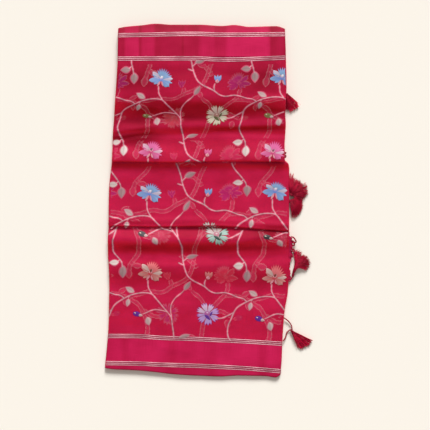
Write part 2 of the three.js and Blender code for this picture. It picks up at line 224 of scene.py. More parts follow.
field = {"thread": colour(223, 36, 88), "gap": colour(182, 16, 54)}
looks = {
    "sheerSilk": {**field, "group": weave, "toned": True, "roughness": 0.55, "alpha": 0.42, "specular": 0.08,
                  "sheen": 0.04},
    "underSilk": {**field, "group": weave, "toned": True, "roughness": 0.6, "specular": 0.05},
    "satinSilk": {"thread": colour(214, 28, 86), "gap": colour(172, 12, 56), "group": weave, "toned": True,
                  "roughness": 0.5, "specular": 0.12, "sheen": 0.03, "bump": 0.1},
    "zari": {"thread": colour(240, 198, 204), "gap": colour(196, 124, 140), "group": twist, "toned": True,
             "roughness": 0.42, "metallic": 0.3, "specular": 0.5, "bump": 0.5},
    "motifSilk": {"thread": np.array([1, 1, 1]), "gap": np.array([0.74, 0.72, 0.74]), "group": twist,
                  "toned": True, "roughness": 0.5, "specular": 0.3, "bump": 0.35},
    "tasselSilk": {"thread": colour(222, 30, 78), "gap": colour(172, 8, 42), "group": twist, "toned": True,
                   "roughness": 0.55, "specular": 0.16, "bump": 0.3},
}
silks = {name: cloth(name, look) for name, look in looks.items()}
floorMaterial = cloth("paper", {"thread": (0.93, 0.88, 0.80), "roughness": 0.9, "specular": 0.1})

clothThickness = 1.0
seam = 0.3
tuckSeam = 0.5
layerPitch = clothThickness + seam
halfWidth = 240
firstRow = 474
lastRow = -472
endDrop = {"upper": 2.0, "lower": 3.5, "reach": 38, "past": 4}
lip = {"radius": 5, "share": 0.9}
rowSpacing = 3.2
upperTuck = {"y": 102, "radius": 3.5, "back": 63, "sway": 1.4, "swayLength": 60, "droop": 0}
lowerTuck = {"y": -70.5, "radius": 2.4, "back": 14, "sway": 1.3, "swayLength": 70, "droop": 13}
tuckTaper = 7
borderSeams = (383.35, -374.85)

leftEdge = [
    (480, -219.8), (462, -221.1), (378, -221.7), (308, -225.2), (270, -227.9), (230, -231.4),
    (167, -235.4), (110, -237.0), (97, -238.2), (81, -240.8), (27, -246.0), (-59, -246.5), (-154, -249.0),
    (-170, -246.5), (-243, -245.2), (-354, -247.6), (-429, -253.5), (-480, -258.0),
]
rightEdgeUpper = [
    (480, 229.0), (462, 229.5), (378, 231.1), (308, 232.2), (235, 229.5), (202, 231.2), (143, 228.4),
    (90, 228.6),
]
rightEdgeLower = [
    (170, 228.0), (110, 228.4), (97, 239.5), (81, 241.6), (-8, 241.1), (-86, 240.0), (-167, 240.3),
    (-227, 238.7), (-251, 236.3), (-284, 229.5), (-319, 226.0), (-378, 222.5), (-421, 220.9),
    (-480, 217.0),
]
ruffledEnd = [
    (-72, 0.6), (-84, 1.4), (-95, 6.8), (-108, 10), (-123, 9.6), (-137, 7.6), (-148, 10), (-160, 5),
    (-178, 2.4), (-194, 4), (-207, 5.6), (-217, 0.8),
]
upperEnd = [
    (-222, 462), (-201, 466), (-157, 470.3), (-119, 474.7), (-77, 472), (-1, 472), (60, 468.5),
    (92, 471.2), (133, 466), (205, 467.9), (231, 460),
]
lowerEnd = [
    (-258, -453.6), (-235, -457), (-177, -459.8), (-125, -464.4), (-70, -470.9), (5, -475.2), (54, -476.8),
    (102, -474.4), (178, -476), (205, -479.5), (219, -471),
]
# The waves across the packet: the crest's place at the left, middle and right, its height, how far it reaches
# above and below the crest, and its share of that height at the left, middle and right
waves = [
    (440, 440, 440, 9, 60, 95, (1, 1, 1)),
    (276, 269, 266, 20, 105, 42, (0.85, 1, 0.85)),
    (188, 199, 203, 8, 18, 18, (0.8, 1, 0.9)),
    (102, 102, 100, 7, 42, 12, (1, 1, 0.9)),
    (-61, -64, -68, 6, 62, 10, (0.9, 1, 1)),
    (-106, -108, -102, 15, 24, 26, (0.85, 1, 0.6)),
    (-178, -180, -174, 6, 17, 42, (1, 1, 0.7)),
    (-275, -290, -300, 3, 40, 50, (1, 0.8, 1)),
]
# Soft creases on top of the waves: from one point to another, width and height, below zero for a trough
creases = [
    ((-60, 246), (40, 252), 12, -1.6),
    ((165, 266), (226, 272), 10, 2.2),
    ((160, 240), (215, 236), 6, -1.4),
    ((-230, 184), (-130, 197), 5, 1.3),
    ((-235, 159), (-135, 178), 4.5, -1.7),
    ((-232, 170), (-140, 182), 3, 0.9),
    ((40, 186), (227, 192), 5, -1.5),
    ((60, 197), (200, 201), 4, 0.7),
    ((-120, 330), (-30, 346), 16, -1.2),
    ((60, 338), (210, 318), 14, -1.4),
    ((-210, 352), (-130, 318), 12, 1.2),
    ((227, -81), (243, -121), 3, 1.3),
    ((216, -76), (235, -130), 3, -1.3),
    ((-240, -62), (-160, -78), 5, 1.2),
    ((90, -118), (170, -96), 8, 1.2),
    ((-190, 258), (-110, 244), 8, 1.4),
    ((-200, 60), (-60, 40), 14, 0.6),
    ((30, 20), (200, 44), 12, 0.6),
    ((-220, -150), (-60, -160), 8, 0.8),
    ((60, -150), (220, -140), 8, 0.8),
]


def curve(table, t):
    rows = sorted(table)
    knots = np.array([row[0] for row in rows], float)
    values = np.array([row[1] for row in rows], float)
    slope = np.diff(values) / np.diff(knots)
    before, after = slope[:-1], slope[1:]
    same = before * after > 0
    lean = np.where(same, 2 * before * after / np.where(same, before + after, 1), 0)
    lean = np.concatenate([slope[:1], lean, slope[-1:]])
    t = np.clip(np.asarray(t, float), knots[0], knots[-1])
    i = np.clip(np.searchsorted(knots, t) - 1, 0, len(knots) - 2)
    span = knots[i + 1] - knots[i]
    s = (t - knots[i]) / span
    return (
        (2 * s**3 - 3 * s**2 + 1) * values[i]
        + (s**3 - 2 * s**2 + s) * span * lean[i]
        + (3 * s**2 - 2 * s**3) * values[i + 1]
        + (s**3 - s**2) * span * lean[i + 1]
    )


def ease(start, end, value):
    share = np.clip((value - start) / (end - start), 0, 1)
    return share * share * (3 - 2 * share)


def across(x, left, middle, right):
    s = x / halfWidth
    return middle + (right - left) / 2 * s + ((right + left) / 2 - middle) * s * s


def softNoise(x, y, size, seed):
    patches = np.random.default_rng(seed).random((32, 32)) * 2 - 1
    u, v = np.asarray(x) / size + 700, np.asarray(y) / size + 700
    i, j = np.floor(u).astype(int), np.floor(v).astype(int)
    f, g = ease(0, 1, u - i), ease(0, 1, v - j)
    near = patches[i % 32, j % 32] * (1 - f) + patches[(i + 1) % 32, j % 32] * f
    far = patches[i % 32, (j + 1) % 32] * (1 - f) + patches[(i + 1) % 32, (j + 1) % 32] * f
    return near * (1 - g) + far * g


def creaseHeight(x, y):
    z = 0.5 * softNoise(x / 1.9, y + x / 9, 24, 3) + 0.2 * softNoise(x / 1.4, y - x / 7, 12, 4)
    for (ax, ay), (bx, by), width, height in creases:
        length = math.hypot(bx - ax, by - ay)
        ux, uy = (bx - ax) / length, (by - ay) / length
        along = (x - ax) * ux + (y - ay) * uy
        off = (y - ay) * ux - (x - ax) * uy
        past = np.maximum(0, np.maximum(-along, along - length))
        z = z + height * np.exp(-((off / width) ** 2) - (past / (2.2 * width)) ** 2)
    return z


def bedHeight(x, y):
    tip = firstRow + endDrop["past"]
    z = restHeight - endDrop["upper"] * ease(tip - endDrop["reach"], tip, y)
    z = z - endDrop["lower"] * ease(endDrop["reach"] - tip, -tip, y)
    for left, middle, right, height, above, below, shares in waves:
        off = y - across(x, left, middle, right)
        reach = np.where(off > 0, above, below)
        z = z + height * across(x, *shares) * np.exp(-((off / reach) ** 2))
    return z + creaseHeight(x, y)


def tuckLine(tuck, x):
    droop = tuck["droop"] * ease(20, halfWidth, x)
    return tuck["y"] + tuck["sway"] * np.sin(x / tuck["swayLength"]) - droop


def slant(x, row):
    return 11 * ease(-120, -380, row) * x / halfWidth


def rowAt(x, row):
    y = row
    for tuck in (upperTuck, lowerTuck):
        y = y + (tuckLine(tuck, x) - tuck["y"]) * np.exp(-(((row - tuck["y"]) / 30) ** 2))
    y = y - slant(x, row)
    y = y + (curve(upperEnd, x) - firstRow) * ease(400, firstRow, row)
    atEnd = ease(-415, lastRow, row)
    return y * (1 - atEnd) + (curve(lowerEnd, x) + row - lastRow) * atEnd


def upperLimits(row):
    return curve(leftEdge, row), curve(rightEdgeUpper, row)


def lowerLimits(row):
    right = np.where(np.asarray(row) > 130, curve(rightEdgeUpper, row), curve(rightEdgeLower, row))
    return curve(leftEdge, row), right


def lipDrop(x, limit):
    inside = np.minimum(x - limit[0], limit[1] - x)
    q = np.clip(1 - inside / lip["radius"], 0, 1)
    return lip["share"] * lip["radius"] * (1 - np.sqrt(1 - q * q))


def tuckLift(tuck, x, y):
    line = tuckLine(tuck, x)
    twoLayers = 2 * (clothThickness + tuckSeam)
    nose = 2 * tuck["radius"] + tuckSeam - twoLayers
    beyond = line + tuck["back"]
    return twoLayers * ease(beyond + 15, beyond + 1, y) + nose * ease(beyond - 8, line + tuck["radius"], y)


upper = {"limits": upperLimits, "tuck": upperTuck}
middle = {"limits": lowerLimits, "tuck": lowerTuck}
lower = {"limits": lowerLimits, "tuck": None}


def faceHeight(stretch, x, y, limit=None):
    limit = limit or stretch["limits"](y + slant(x, y))
    z = bedHeight(x, y) + layerPitch - lipDrop(x, limit)
    tuck = stretch["tuck"]
    if tuck:
        z = z + tuckLift(tuck, x, y)
        q = np.clip((tuckLine(tuck, x) + tuck["radius"] - y) / tuck["radius"], 0, 1)
        z = z - tuck["radius"] * (1 - np.sqrt(1 - q * q))
    return z


def makeMesh(name, points, faces, material, uv=None, tone=None, faceMaterial=None):
    mesh = bpy.data.meshes.new(name)
    mesh.from_pydata((np.asarray(points) * mm).tolist(), [], np.asarray(faces).tolist())
    mesh.update()
    mesh.polygons.foreach_set("use_smooth", np.ones(len(mesh.polygons), bool))
    if uv is not None:
        corner = np.empty(len(mesh.loops), int)
        mesh.loops.foreach_get("vertex_index", corner)
        layer = mesh.uv_layers.new(name="cloth")
        layer.data.foreach_set("uv", (np.asarray(uv)[corner] * mm).ravel())
    if tone is not None:
        layer = mesh.color_attributes.new("tone", "FLOAT_COLOR", "POINT")
        layer.data.foreach_set("color", np.column_stack([tone, np.ones(len(tone))]).ravel())
    for one in material if isinstance(material, list) else [material]:
        mesh.materials.append(one)
    if faceMaterial is not None:
        mesh.polygons.foreach_set("material_index", np.asarray(faceMaterial, int))
    thing = bpy.data.objects.new(name, mesh)
    scene.collection.objects.link(thing)
    return thing


def joinMesh(name, points, faces, material, uv, tones):
    return makeMesh(name, *map(np.concatenate, (points, faces)), material, *map(np.concatenate, (uv, tones)))


def gridFaces(rows, cols, start=0):
    at = start + np.arange(rows * cols).reshape(rows, cols)
    return np.stack([at[:-1, :-1], at[1:, :-1], at[1:, 1:], at[:-1, 1:]], -1).reshape(-1, 4)


def gridNormals(grid):
    downRow = np.gradient(grid, axis=0)
    alongRow = np.gradient(grid, axis=1)
    normal = np.cross(downRow, alongRow)
    return normal / np.maximum(np.linalg.norm(normal, axis=-1, keepdims=True), 1e-9)


def shell(name, grid, thickness, material, tone=None, rowMaterial=None):
    rows, cols = grid.shape[:2]
    back = grid - gridNormals(grid) * thickness
    front = gridFaces(rows, cols)
    behind = gridFaces(rows, cols, rows * cols)[:, ::-1]
    at = np.arange(rows * cols).reshape(rows, cols)
    rim = np.concatenate([at[0, ::-1], at[1:, 0], at[-1, 1:], at[-2:0:-1, -1]])
    nextRim = np.roll(rim, -1)
    edge = np.stack([nextRim, rim, rim + rows * cols, nextRim + rows * cols], -1)
    faces = np.concatenate([front, behind, edge])
    step = np.linalg.norm(np.diff(grid, axis=0), axis=-1).mean(axis=1)
    length = np.concatenate([[0], np.cumsum(step)])
    width = np.linalg.norm(np.diff(grid, axis=1), axis=-1).mean(axis=0)
    spread = np.concatenate([[0], np.cumsum(width)])
    uv = np.stack(np.meshgrid(spread, length), -1).reshape(-1, 2)
    shade = np.ones((rows, cols, 3)) if tone is None else tone
    faceMaterial = None
    if rowMaterial is not None:
        perRow = np.repeat(rowMaterial, cols - 1)
        faceMaterial = np.concatenate([perRow, perRow, np.zeros(len(edge), int)])
    points = np.concatenate([grid.reshape(-1, 3), back.reshape(-1, 3)])
    shade = shade.reshape(-1, 3)
    return makeMesh(name, points, faces, material, np.concatenate([uv, uv]), np.concatenate([shade, shade]),
                    faceMaterial)


lipColumns = np.array([0, 0.4, 0.9, 1.6, 2.5, 3.6, 5])
lipMargin = 7.5
innerColumns = 135


def columns(limit, inset=0.0):
    left, right = float(limit[0]) + inset, float(limit[1]) - inset
    inner = np.linspace(left + lipMargin, right - lipMargin, innerColumns)
    return np.concatenate([left + lipColumns, inner, right - lipColumns[::-1]])


print("cloth")
silkThickness = 0.4
# Painted sheen and shade on the satin borders: brightness at each x across the frame, for its creases
upperSatinPaintedShade = [
    (117, 0.7), (124, 0.68), (126.5, 0.9), (138, 0.94), (140.4, 0.64), (143, 0.82), (153, 0.86),
    (157, 0.66), (181, 0.7), (183, 0.62), (185, 0.74), (197, 0.7), (203, 0.88), (213, 0.9), (216, 0.76),
    (224, 0.8), (229, 1.0), (250, 0.95), (266, 1.0), (269, 0.9), (271, 0.64), (280, 0.72), (286, 0.6),
]
lowerSatinPaintedShade = [
    (104, 0.8), (120, 0.88), (125, 0.8), (132, 0.9), (160, 0.92), (172, 0.8), (180, 0.9), (192, 0.84),
    (200, 0.92), (213, 0.85), (222, 0.94), (255, 0.94), (262, 0.84), (270, 0.93), (283, 0.86),
]

# Painted shade on the sheer cloth: patches whose colour is made deeper where the cloth lies in shade. x and y
# in the photo's frame, how far the patch reaches across and along, and how much deeper it is
paintedShadePatches = [
    (134, 77, 34, 13, 0.3), (262, 77, 30, 15, 0.4), (198, 74, 40, 12, 0.18), (200, 110, 44, 10, 0.42),
    (262, 112, 34, 8, 0.34), (150, 108, 30, 11, 0.3), (134, 121, 30, 8, 0.36), (134, 138, 32, 5, 0.36),
    (205, 129, 60, 3, 0.2), (262, 129, 24, 3.5, 0.3), (190, 118, 28, 4, 0.3), (276, 160, 14, 5, 0.2),
    (128, 164, 30, 4, 0.16), (200, 249, 60, 5, 0.28), (136, 248, 26, 5, 0.28), (268, 231, 22, 5, 0.4),
    (205, 228, 24, 3, 0.3), (200, 234, 120, 4, 0.12), (128, 222, 30, 3, 0.2), (128, 274, 30, 9, 0.14),
    (205, 276, 70, 9, 0.2), (268, 280, 20, 6, 0.24), (262, 163, 30, 3, 0.1), (134, 86, 30, 7, 0.2),
    (262, 88, 26, 6, 0.16), (122, 137.5, 22, 2.2, 0.26), (146, 135, 24, 2, 0.24),
    (124, 129.5, 20, 1.6, 0.14), (250, 160, 16, 3, 0.14), (262, 238, 24, 5, 0.2), (124, 143, 20, 4, 0.2),
    (262, 248, 30, 3, 0.25),
]


def photoPlace(grid):
    return grid[:, :, 0] / square + origin, origin - grid[:, :, 1] / square


def mottleAndPaintedShade(grid):
    px, py = photoPlace(grid)
    # random mottle in the colour, then painted shade from the patches
    shade = 1 + 0.05 * softNoise(px * 1.2, py * 1.6, 22, 5) + 0.05 * softNoise(px, py * 1.5, 7, 6)
    for x, y, reachX, reachY, depth in paintedShadePatches:
        shade *= 1 - depth * np.exp(-(((px - x) / reachX) ** 2) - ((py - y) / reachY) ** 2)
    # painted light: a slope that turns from the window is painted a purer red, as light looks after coming
    # through the layers
    window = np.array(lamps["window"]["from"])
    away = np.clip(1 - gridNormals(grid) @ window / window[2], 0, 1)
    return np.stack([shade * (1 + 0.5 * away), shade**2.2, shade**1.9 * (1 - 0.5 * away)], -1)


def sheetGrid(rowList, stretch):
    grid = []
    for row in rowList:
        limit = stretch["limits"](row)
        x = columns(limit)
        y = rowAt(x, row)
        grid.append(np.stack([x, y, faceHeight(stretch, x, y, limit)], -1))
    return grid


def turnedGrid(stretch):
    tuck = stretch["tuck"]
    noseRow = tuck["y"] + tuck["radius"]
    limit = stretch["limits"](noseRow)
    grid = []
    for degrees in (72, 54, 36, 18, 0, -18, -36, -54, -72, -90):
        angle = math.radians(degrees)
        taper = tuckTaper * (90 - degrees) / 180
        x = columns(limit, taper)
        y = rowAt(x, noseRow)
        centre = bedHeight(x, y) + layerPitch + tuckSeam + tuck["radius"]
        drop = lipDrop(x, (limit[0] + taper, limit[1] - taper)) * (1 + math.sin(angle)) / 2
        radius = tuck["radius"]
        grid.append(np.stack([x, y - radius * math.cos(angle), centre + radius * math.sin(angle) - drop], -1))
    for row in np.arange(noseRow + 3, tuck["y"] + tuck["back"], 4):
        x = columns(stretch["limits"](row), tuckTaper)
        y = rowAt(x, row)
        grid.append(np.stack([x, y, bedHeight(x, y) + layerPitch + tuckSeam], -1))
    return grid


def rowsBetween(start, end, step=rowSpacing):
    return np.linspace(start, end, max(2, round(abs(end - start) / step)))


def satinMottleAndPaintedShade(grid, table, paintedShadeRow):
    # random mottle, then the table's painted sheen and shade, and a painted shade line along the border's
    # folded end
    px, py = photoPlace(grid)
    shade = curve(table, px) * (1 + 0.06 * softNoise(px * 1.6, py * 0.8, 14, 7))
    shade = shade * (1 - 0.22 * np.exp(-(((py - paintedShadeRow) / 5) ** 2)))
    return np.stack([shade, 1.25 * shade**2.9, 1.16 * shade**2], -1)


upperBorderGrid = np.array(sheetGrid(rowsBetween(firstRow, borderSeams[0] + 0.1), upper))
upperBorderSheet = shell("upperBorderSheet", upperBorderGrid, silkThickness, silks["satinSilk"],
                         satinMottleAndPaintedShade(upperBorderGrid, upperSatinPaintedShade, 26))
upperRows = rowsBetween(borderSeams[0], upperTuck["y"] + upperTuck["radius"])
upperGrid = np.array(sheetGrid(upperRows, upper) + turnedGrid(upper))
upperSheet = shell("upperSheet", upperGrid, silkThickness, silks["sheerSilk"], mottleAndPaintedShade(upperGrid))
middleRows = rowsBetween(upperTuck["y"] + upperTuck["back"], lowerTuck["y"] + lowerTuck["radius"])
middleGrid = np.array(sheetGrid(middleRows, middle) + turnedGrid(middle))
middleSheet = shell("middleSheet", middleGrid, silkThickness, silks["sheerSilk"], mottleAndPaintedShade(middleGrid))
lowerRows = rowsBetween(lowerTuck["y"] + lowerTuck["back"], borderSeams[1] + 0.1)
lowerGrid = np.array(sheetGrid(lowerRows, lower))
lowerSheet = shell("lowerSheet", lowerGrid, silkThickness, silks["sheerSilk"], mottleAndPaintedShade(lowerGrid))
lowerBorderGrid = np.array(sheetGrid(rowsBetween(borderSeams[1], lastRow), lower))
lowerBorderSheet = shell("lowerBorderSheet", lowerBorderGrid, silkThickness, silks["satinSilk"],
                         satinMottleAndPaintedShade(lowerBorderGrid, lowerSatinPaintedShade, 380))

# The second layer, which shows through the sheer cloth
underDrop = 0.3
underThickness = 0.3
underRows = rowsBetween(firstRow - 3, lastRow + 3, 3.6)
underGrid = []
for row in underRows:
    limit = lowerLimits(row)
    x = columns(limit, 1.2)
    y = rowAt(x, row)
    underGrid.append(np.stack([x, y, bedHeight(x, y) + underDrop - 0.9 * lipDrop(x, limit)], -1))
underSatin = ((underRows[:-1] > borderSeams[0]) | (underRows[1:] < borderSeams[1])).astype(int)
underGrid = np.array(underGrid)
underSheet = shell("underSheet", underGrid, underThickness, [silks["underSilk"], silks["satinSilk"]],
                   mottleAndPaintedShade(underGrid), underSatin)

print("stack")
stack = {"layers": 10, "top": 10.7, "bottom": 0.45, "inset": 1.6, "uneven": 1.1, "thickness": 0.35}
bandRows = (447, 381.5, -378, -451)
stripOffsets = (-4.6, 0, 4.6)
stripWidth = 1.5
stackLip = np.array([0, 1.2, 2.8, 5])


def stackRow(row, endShare):
    limit = lowerLimits(row)
    line = []
    for k in range(stack["layers"]):
        shift = stack["uneven"] * math.sin(2.3 * k + 0.9 + row / 90) + 0.5 * math.sin(k * 1.7 + row / 23)
        left = float(limit[0]) + stack["inset"] + shift
        right = float(limit[1]) - stack["inset"] + 0.8 * math.sin(1.9 * k + row / 70)
        inner = np.linspace(left + 8, right - 8, 6)
        x = np.concatenate([left + stackLip, inner, right - stackLip[::-1]])
        y = rowAt(x, row) + endShare * (1.6 * math.sin(3.1 * k + 1) - 1.5)
        top = bedHeight(x, y) - 0.75 * lipDrop(x, (left, right))
        z = stack["bottom"] + (top - stack["bottom"]) * (k + 0.5) / stack["top"]
        half = (top - stack["bottom"]) / stack["top"] / 2
        points = np.stack([x, y, z], -1)
        side = 1 if k % 2 == 0 else -1
        if side < 0:
            points = points[::-1]
            half = half[::-1]
        line.append(points)
        if k + 1 < stack["layers"]:
            edge = points[-1]
            for degrees in (-60, -30, 0, 30, 60):
                angle = math.radians(degrees)
                out = side * half[-1] * math.cos(angle) * 1.4
                line.append(np.array([[edge[0] + out, edge[1], edge[2] + half[-1] * (1 + math.sin(angle))]]))
    return np.concatenate(line)


stackRows = set(np.round(rowsBetween(firstRow - 1, lastRow + 1, 7), 2))
for band in bandRows:
    stackRows |= {band + offset + side * stripWidth / 2 for offset in stripOffsets for side in (-1, 1)}
stackRows = np.array(sorted(stackRows, reverse=True))
stackGrid = np.array([
    stackRow(row, 1 if i == 0 else -1 if i == len(stackRows) - 1 else 0) for i, row in enumerate(stackRows)
])
rowMiddle = (stackRows[:-1] + stackRows[1:]) / 2
stackMaterial = ((rowMiddle > borderSeams[0]) | (rowMiddle < borderSeams[1])).astype(int)
for band in bandRows:
    for offset in stripOffsets:
        stackMaterial[abs(rowMiddle - band - offset) < stripWidth / 2] = 2
foldedStack = shell("foldedStack", stackGrid, stack["thickness"],
                    [silks["underSilk"], silks["satinSilk"], silks["zari"]], rowMaterial=stackMaterial)

print("bands")
bands = {
    "upperOuterBand": (upper, [(110, 35.4), (140, 34.9), (193, 33.9), (228, 34.8), (290, 34.1)]),
    "upperInnerBand": (upper, [(110, 58.7), (192, 58.4), (225, 59.6), (290, 57.5)]),
    "lowerInnerBand": (lower, [(105, 336), (133, 336.1), (164, 338), (192, 338.9), (215, 340),
                               (240, 341.2), (285, 344)]),
    "lowerOuterBand": (lower, [(103, 363.1), (134, 363.5), (164, 364.8), (192, 365.7), (215, 366.7),
                               (240, 368), (285, 371.6)]),
}


def towardsPhoto(x, y, z):
    nearer = 1 - (z - restHeight + 1) / viewDistance
    return viewCentre[0] + (x - viewCentre[0]) * nearer, viewCentre[1] + (y - viewCentre[1]) * nearer


def onCloth(stretch, x, y, height):
    z = faceHeight(stretch, x, y)
    x, y = towardsPhoto(x, y, z)
    return np.stack([x, y, faceHeight(stretch, x, y) + height], -1)


bandProfile = [(-0.5, 0.02), (-0.34, 0.26), (0, 0.36), (0.34, 0.26), (0.5, 0.02)]
bandPieces = []
bandGround = {"width": 12.0, "height": 0.4, "tone": colour(166, 48, 78) / colour(232, 180, 190)}
for number, (name, (stretch, line)) in enumerate(bands.items()):
    points, faces, uv, tones = [], [], [], []
    strips = [(0, bandGround["width"], bandGround["height"], bandGround["tone"])]
    strips += [(offset, stripWidth, 1, np.ones(3)) for offset in stripOffsets]
    middleY = (origin - float(curve(line, origin)[()])) * square
    x = columns(stretch["limits"](middleY), 0.3)
    for offset, width, rise, tone in strips:
        y = (origin - curve(line, x / square + origin)) * square + offset
        bright = 0.9 + 0.42 * softNoise(x, y, 26, 11 + number) + 0.16 * softNoise(x, y * 4, 7, 12 + number)
        bright = np.where(tone[0] < 1, 1, bright)[:, None] * tone
        start = len(points) * len(x)
        rows = [onCloth(stretch, x, y + share * width, height * rise) for share, height in bandProfile[::-1]]
        faces.append(gridFaces(len(rows), len(x), start))
        points += rows
        uv += [np.stack([x, np.full(len(x), share * width)], -1) for share, height in bandProfile]
        tones += [bright] * len(rows)
    bandPieces.append(joinMesh(name, points, faces, silks["zari"], uv, tones))

print("flowers")
# The flower chart: where its middle column and its rows lie in the photo's frame on each stretch, how far the
# pattern is shifted down at the left and at the right, and how wide one repeat is
tileWidth, tileHeight = 122, 86
upper.update(
    chartColumn=[(60, 161.5), (77, 161), (97, 161), (116, 160), (135, 153), (151, 150.8), (162, 150.4)],
    chartRows=[(-18, 59.5), (0, 77.2), (16, 93), (30, 104.5), (43, 116), (52, 124), (64, 132), (75, 140),
               (86, 151), (98, 162.5)],
    leftShift=[(60, 0.6), (77, 1.6), (92, 1.6), (102, 2.8), (112, 1.4), (122, -0.4), (140, 0), (162, 0)],
    rightShift=[(60, 0), (116, 0.4), (140, 0), (150, 1.2), (162, 0)],
    tileWidths=[(60, 120), (77, 120.8), (110, 121.5), (162, 122)],
)
middle.update(
    chartColumn=[(162, 150), (191, 149.4), (226, 149.6)],
    chartRows=[(144, 162.5), (172, 190.7), (208, 226.5)],
    leftShift=[(162, 0), (182, 2.6), (190, 2), (205, 4.2), (212, 4.8), (226, 3)],
    rightShift=[(162, 0), (182, 1), (190, -0.4), (205, 2.6), (213, 2.4), (226, 3.6)],
    tileWidths=[(162, 124), (190, 125.6), (226, 124.5)],
)
lower.update(
    chartColumn=[(226, 156), (244, 156.4), (258, 151.4), (272, 150.4), (314, 150.5), (322, 149),
                 (338, 144.2)],
    chartRows=[(207, 226), (215, 234.5), (228, 246), (240, 256), (258, 273.5), (301, 314), (326, 338.5)],
    leftShift=[(226, 0), (240, 0.8), (255, -1.4), (266, -2.6), (274, -0.8), (290, 0), (313, 0.9), (345, 0)],
    rightShift=[(226, 4.4), (240, 3), (252, 1), (262, 0.4), (273, 3.8), (290, 3.8), (313, 5.6), (322, 6.4),
                (336, 4), (345, 2)],
    tileWidths=[(226, 125.4), (240, 125), (272, 124.2), (314, 122), (345, 122)],
)
# Where the shifts at the sides begin and where they are full, across the photo's frame
leftFade = (215, 160)
rightFade = (194, 256)
# The second layer has the pattern mirrored about this line, and a little lower
mirrorLine = [(60, 402), (77, 400), (110, 392), (150, 382), (190, 380), (240, 377), (272, 376), (345, 375)]
underShift = [(60, 5), (77, 6), (110, 3), (150, 4), (190, 1.5), (345, 0)]

silverPink = colour(224, 172, 180)
vineEdge = colour(184, 66, 94)
fringe = colour(186, 36, 76)
halo = colour(206, 70, 104)
ghost = colour(255, 226, 232)
net = colour(255, 116, 158)
silverLeaf = colour(210, 176, 174)
deepLeaf = colour(178, 140, 142)
paleLeaf = colour(226, 206, 200)
blush = colour(222, 140, 150)


def smoothLine(points, step):
    points = np.array(points, float)
    ends = np.concatenate([[2 * points[0] - points[1]], points, [2 * points[-1] - points[-2]]])
    line = []
    for a, b, c, d in zip(ends, ends[1:], ends[2:], ends[3:]):
        count = max(2, math.ceil(np.linalg.norm(c - b) / step))
        for t in np.arange(count) / count:
            line.append(0.5 * (2 * b + (c - a) * t + (2 * a - 5 * b + 4 * c - d) * t**2
                               + (3 * b - a - 3 * c + d) * t**3))
    return np.array(line + [points[-1]])


def ribbon(line, width, taper, shares, heights, tones, kind):
    heading = np.gradient(line, axis=0)
    heading /= np.linalg.norm(heading, axis=1, keepdims=True)
    normal = np.stack([-heading[:, 1], heading[:, 0]], -1)
    t = np.linspace(0, 1, len(line))
    wobble = 1 + 0.14 * np.sin(line[:, 0] * 1.9 + line[:, 1] * 1.3)
    half = width / 2 * wobble * (1 - taper * np.abs(2 * t - 1) ** 6)
    patchy = np.sin(line[:, 0] * 0.53 + line[:, 1] * 0.37) * np.sin(line[:, 1] * 0.71 - line[:, 0] * 0.19)
    shares = np.array(shares)
    place = line[:, None] + normal[:, None] * (half[:, None] * shares)[..., None]
    height = np.broadcast_to(heights, (len(line), len(shares)))
    tone = np.array(tones) * (0.9 + 0.22 * patchy)[:, None, None]
    return {"place": place, "height": height, "tone": tone, "kind": kind}


# The vine itself, the fringe of cut threads beside it, and how its back shows through the cloth above
def vine(points, width=1.15, taper=0.5):
    line = smoothLine(points, 0.9)
    return [
        ribbon(line, width * 0.95, taper, (-1, -0.55, 0, 0.55, 1), (0.06, 0.34, 0.3, 0.34, 0.06),
               (vineEdge, silverPink, blush, silverPink, vineEdge), "front"),
        ribbon(line, width + 1.3, taper * 0.5, (-1, -0.4, 0.4, 1), (0.01, 0.09, 0.09, 0.01),
               (field["thread"], fringe, fringe, field["thread"]), "front"),
        ribbon(line, width * 1.3 + 2.8, taper * 0.3, (-1, -0.95, -0.66, -0.5, 0.5, 0.66, 0.95, 1),
               (0.02, 0.15, 0.2, 0.1, 0.1, 0.2, 0.15, 0.02),
               (net, ghost, ghost, net, net, ghost, ghost, net), "back"),
    ]


def blade(base, angle, length, width, tones, tip=0.9, fullest=0.45, bend=0.0, veins=0, height=0.4):
    rows, cols = 13, 9
    t = np.linspace(0, 1, rows)[:, None]
    s = np.linspace(-1, 1, cols)[None, :]
    power = math.log(0.5) / math.log(fullest)
    half = width / 2 * np.sin(np.pi * t**power) ** tip
    reach = length * t - (0.16 * length * s**2 * t**4 if tip < 0.6 else 0)
    side = half * s + bend * length * np.sin(np.pi * t / 2) * t
    turn = math.radians(angle)
    ax, ay = math.cos(turn), -math.sin(turn)
    place = np.stack([base[0] + reach * ax - side * ay, base[1] + reach * ay + side * ax], -1)
    first, last, otherHalf, rib = tones
    tone = first + (last - first) * t[..., None]
    tone = np.where((s > 0.1)[..., None], tone * otherHalf, tone)
    tone = tone * (1 - 0.14 * veins * (np.cos(s * np.pi * 5) > 0.4))[..., None]
    tone = np.where((np.abs(s) < 0.1)[..., None] & (t < 0.9)[..., None], rib, tone)
    tone = np.where((np.abs(s) > 0.9)[..., None], tone * 0.82, tone)
    back = np.where((np.abs(s) > 0.7)[..., None] | (t > 0.9)[..., None], ghost, net + 0 * tone)
    rise = height * (1 - np.abs(s) ** 3) * np.minimum(1, 4 * t + 0.3) + 0.02 + 0 * t
    return {"place": place, "height": rise, "tone": np.broadcast_to(tone, (rows, cols, 3)), "kind": "both",
            "back": back}


